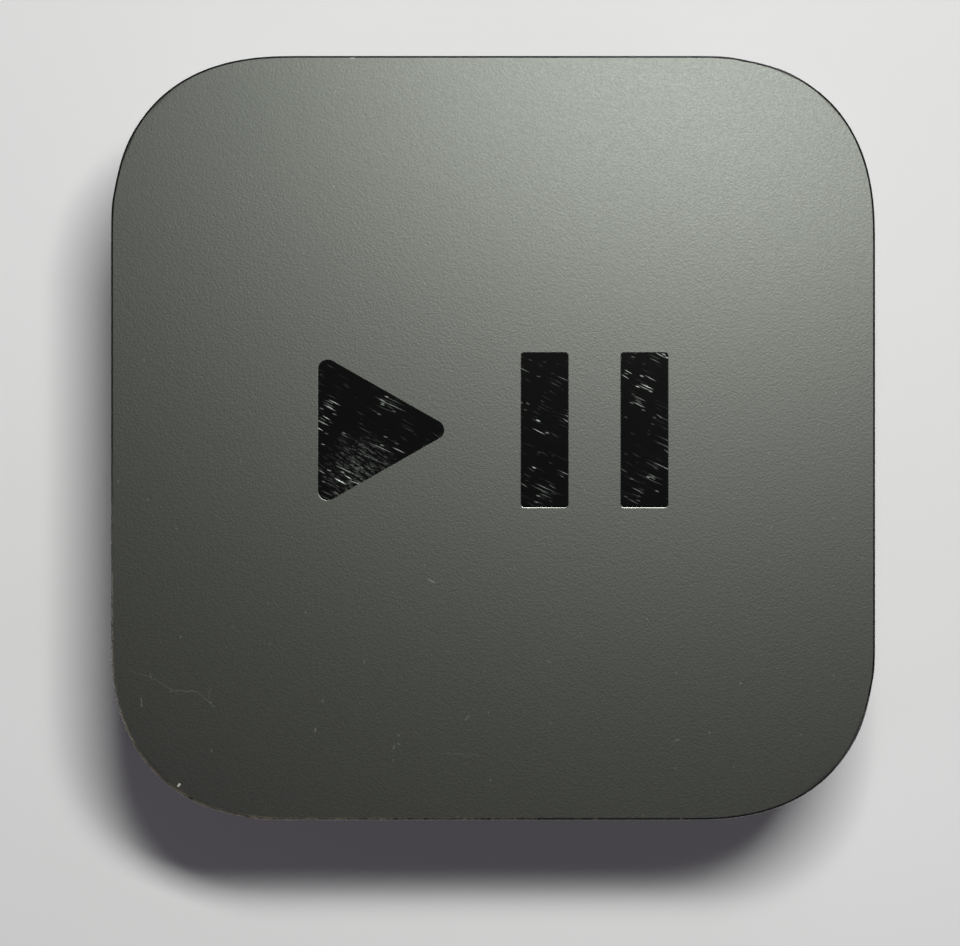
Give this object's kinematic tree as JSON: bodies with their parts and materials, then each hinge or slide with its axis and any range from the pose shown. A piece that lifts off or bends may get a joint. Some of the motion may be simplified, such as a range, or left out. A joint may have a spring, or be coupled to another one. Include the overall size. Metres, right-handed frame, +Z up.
{
  "type": "streaming media player",
  "caption": "Flat rounded-square media player with a matte top, a vented base on soft pads, a cooling fan, and rear power, video and network sockets.",
  "frame": {"origin": "under the middle of the case, on the surface that the foot pads stand on", "axes": "+Z up, +Y towards the sockets at the rear, +X to the right when seen from the front"},
  "size_m": [0.098, 0.098, 0.035],
  "materials": {
    "case_plastic": "polished sides, fine spark-eroded matte top",
    "base_plastic": "fine matte texture",
    "foot_rubber": "moulded matte elastomer",
    "foam": "open-cell foam",
    "fan_plastic": "moulded satin",
    "impeller_plastic": "moulded satin",
    "plated_steel": "nickel plated",
    "hard_steel": "ground",
    "bearing_bronze": "sintered, oil filled",
    "magnet": "moulded, dull",
    "lamination_steel": "stamped and stacked",
    "copper_wire": "enamelled",
    "circuit_board": "dark solder mask",
    "supply_board": "green solder mask",
    "connector_plastic": "moulded satin",
    "gold_contact": "gold plated",
    "screw_steel": "black oxide",
    "cast_aluminium": "die cast, bead blasted",
    "silicone_pad": "soft, dusty",
    "chip_epoxy": "moulded epoxy",
    "dark_epoxy": "clear dark epoxy",
    "tinned_steel": "tinned",
    "ferrite": "pressed and fired",
    "capacitor_ceramic": "fired, tinned ends",
    "antenna_brass": "stamped",
    "light_lens": "moulded clear",
    "clear_plastic": "moulded clear acrylic",
    "nickel_pin": "nickel plated",
    "insulator_film": "formed film",
    "brass_post": "turned",
    "winding_tape": "polyester tape",
    "can_sleeve": "shrunk sleeve over an aluminium can",
    "film_capacitor_case": "moulded box",
    "disc_epoxy": "dipped epoxy"
  },
  "bodies": {
    "case": {"housing": "case_plastic", "base_cover": "base_plastic", "foot_pads": "foot_rubber", "intake_seal": "foam", "fan_frame": "fan_plastic", "fan_cover": "plated_steel", "fan_bearing": "bearing_bronze", "fan_stator_core": "lamination_steel", "fan_coils": "copper_wire", "fan_driver_board": "circuit_board", "fan_contact_block": "connector_plastic", "fan_contact_pins": "gold_contact", "fan_screws": "screw_steel", "heat_sink": "cast_aluminium", "thermal_pad": "silicone_pad", "case_screws": "screw_steel", "logic_board": "circuit_board", "processor": "chip_epoxy", "memory_chips": "chip_epoxy", "shield_can": "tinned_steel", "board_chips": "chip_epoxy", "board_inductors": "ferrite", "board_capacitors": "capacitor_ceramic", "wireless_module": "tinned_steel", "antennas": "antenna_brass", "network_magnetics": "chip_epoxy", "status_light": "light_lens", "light_guide": "clear_plastic", "remote_receiver": "dark_epoxy", "video_socket_shell": "plated_steel", "video_socket_insert": "connector_plastic", "video_socket_contacts": "gold_contact", "network_socket_body": "connector_plastic", "network_socket_shell": "plated_steel", "network_socket_contacts": "gold_contact", "power_inlet_body": "connector_plastic", "power_inlet_pins": "nickel_pin", "power_board": "supply_board", "power_tray": "insulator_film", "power_board_screws": "screw_steel", "power_posts": "brass_post", "power_post_screws": "screw_steel", "transformer_core": "ferrite", "transformer_winding": "winding_tape", "transformer_bobbin": "chip_epoxy", "bulk_capacitors": "can_sleeve", "output_capacitors": "can_sleeve", "film_capacitor": "film_capacitor_case", "disc_capacitor": "disc_epoxy", "choke_core": "ferrite", "choke_windings": "copper_wire", "fuse": "chip_epoxy", "rectifier": "chip_epoxy"},
    "rotor": {"fan_impeller": "impeller_plastic", "fan_shaft": "hard_steel", "fan_yoke": "plated_steel", "fan_magnet": "magnet"}
  },
  "joints": [
    {"name": "fan_spin", "type": "hinge", "parent": "case", "child": "rotor", "pos_m": [0, 0, 0.007], "axis": [0, 0, 1], "continuous": true}
  ]
}
